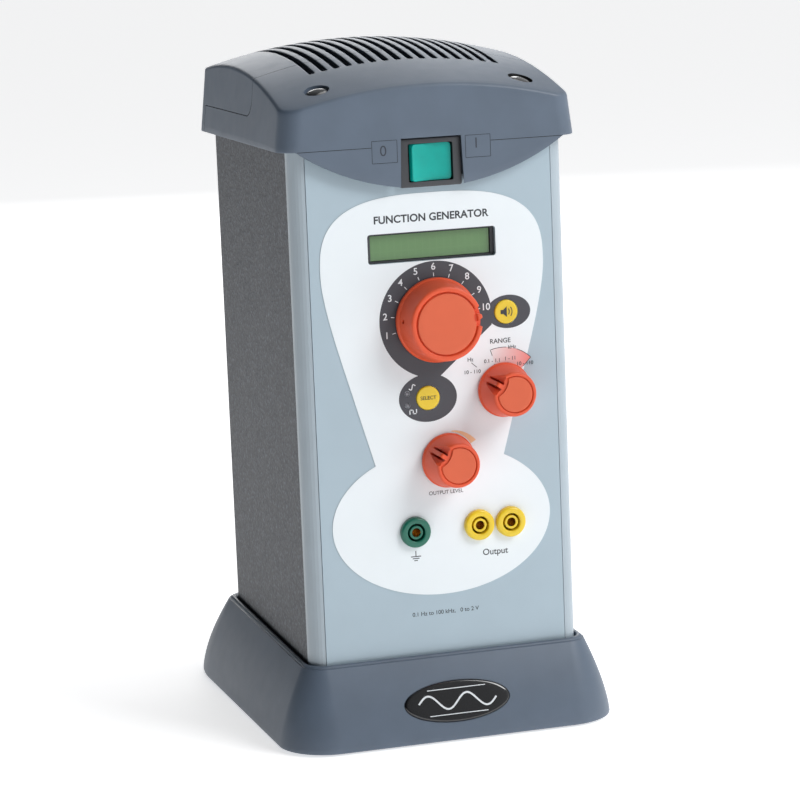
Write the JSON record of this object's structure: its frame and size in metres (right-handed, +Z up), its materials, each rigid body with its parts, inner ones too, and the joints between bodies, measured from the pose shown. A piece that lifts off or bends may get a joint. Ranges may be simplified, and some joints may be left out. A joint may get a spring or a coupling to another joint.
{
  "type": "function generator",
  "caption": "Upright bench function generator: tall case on a flared stand, vented cap, tuning dial, range and level knobs, readout, rocker switch and 4 mm sockets.",
  "frame": {"origin": "centre of the bounding box in plan, at the underside of the feet", "axes": "+Z up, +X to the right as seen from the front, the control panel faces -Y"},
  "size_m": [0.1716, 0.217, 0.3394],
  "materials": {
    "shell_plastic": "fine moulded texture",
    "gloss_black": "polished",
    "foot_rubber": "matte",
    "panel_paint": "satin",
    "label_film": "smooth printed film",
    "rail_metal": "satin anodised",
    "case_paint": "wrinkle powder coat",
    "plated_steel": "zinc plated",
    "black_plastic": "satin",
    "rocker_green": "translucent, glossy",
    "display_glass": "glossy",
    "circuit_board": "solder mask",
    "knob_orange": "satin",
    "button_yellow": "satin",
    "led_lens": "diffused",
    "socket_green": "satin",
    "socket_yellow": "satin",
    "contact_brass": "machined",
    "core_iron": "laminated, varnished",
    "coil_copper": "enamelled wire under tape",
    "cone_paper": "pressed paper"
  },
  "bodies": {
    "case": {"base_stand": "shell_plastic", "base_badge": "gloss_black", "foot_front_left": "foot_rubber", "foot_front_right": "foot_rubber", "foot_rear_left": "foot_rubber", "foot_rear_right": "foot_rubber", "chassis_plate": "plated_steel", "front_panel": "panel_paint", "front_label": "label_film", "corner_rail_left": "rail_metal", "corner_rail_right": "rail_metal", "case_wrap": "case_paint", "cap_front": "shell_plastic", "cap_rear": "shell_plastic", "cap_screw_left": "gloss_black", "cap_screw_right": "gloss_black", "switch_housing": "black_plastic", "display_bezel": "black_plastic", "display_glass": "display_glass", "display_board": "circuit_board", "main_pot": "plated_steel", "main_nut": "plated_steel", "range_switch": "plated_steel", "range_nut": "plated_steel", "level_pot": "plated_steel", "level_nut": "plated_steel", "speaker_tact_switch": "black_plastic", "select_tact_switch": "black_plastic", "sine_led": "led_lens", "square_led": "led_lens", "earth_socket": "socket_green", "earth_contact": "contact_brass", "earth_nut": "contact_brass", "output_left_socket": "socket_yellow", "output_left_contact": "contact_brass", "output_left_nut": "contact_brass", "output_right_socket": "socket_yellow", "output_right_contact": "contact_brass", "output_right_nut": "contact_brass", "control_board": "circuit_board", "transformer_core": "core_iron", "transformer_coil": "coil_copper", "loudspeaker_frame": "plated_steel", "loudspeaker_cone": "cone_paper", "mains_inlet": "black_plastic", "inlet_pin_live": "plated_steel", "inlet_pin_neutral": "plated_steel", "inlet_pin_earth": "plated_steel"},
    "power_rocker": {"switch_rocker": "rocker_green"},
    "main_dial": {"main_knob": "knob_orange", "main_knob_cap": "knob_orange", "main_shaft": "plated_steel"},
    "range_selector": {"range_knob": "knob_orange", "range_knob_cap": "knob_orange", "range_shaft": "plated_steel"},
    "level_control": {"level_knob": "knob_orange", "level_knob_cap": "knob_orange", "level_shaft": "plated_steel"},
    "speaker_key": {"speaker_button": "button_yellow"},
    "select_key": {"select_button": "button_yellow"}
  },
  "joints": [
    {"name": "power_rocker_tilt", "type": "hinge", "parent": "case", "child": "power_rocker", "pos_m": [0, -0.0905, 0.2843], "axis": [0, 0, -1], "range_deg": [0, 20]},
    {"name": "main_dial_turn", "type": "hinge", "parent": "case", "child": "main_dial", "pos_m": [0.0006, -0.09, 0.2074], "axis": [0, -1, 0], "range_deg": [-53, 217]},
    {"name": "range_selector_turn", "type": "hinge", "parent": "case", "child": "range_selector", "pos_m": [0.0339, -0.09, 0.1702], "axis": [0, -1, 0], "range_deg": [-90, 0]},
    {"name": "level_control_turn", "type": "hinge", "parent": "case", "child": "level_control", "pos_m": [0.0038, -0.09, 0.1378], "axis": [0, -1, 0], "range_deg": [-190, 80]},
    {"name": "speaker_button_press", "type": "slide", "parent": "case", "child": "speaker_key", "axis": [0, 1, 0], "range_m": [0, 0.0005], "stiffness_N_per_m": 2000},
    {"name": "select_button_press", "type": "slide", "parent": "case", "child": "select_key", "axis": [0, 1, 0], "range_m": [0, 0.0005], "stiffness_N_per_m": 2000}
  ]
}
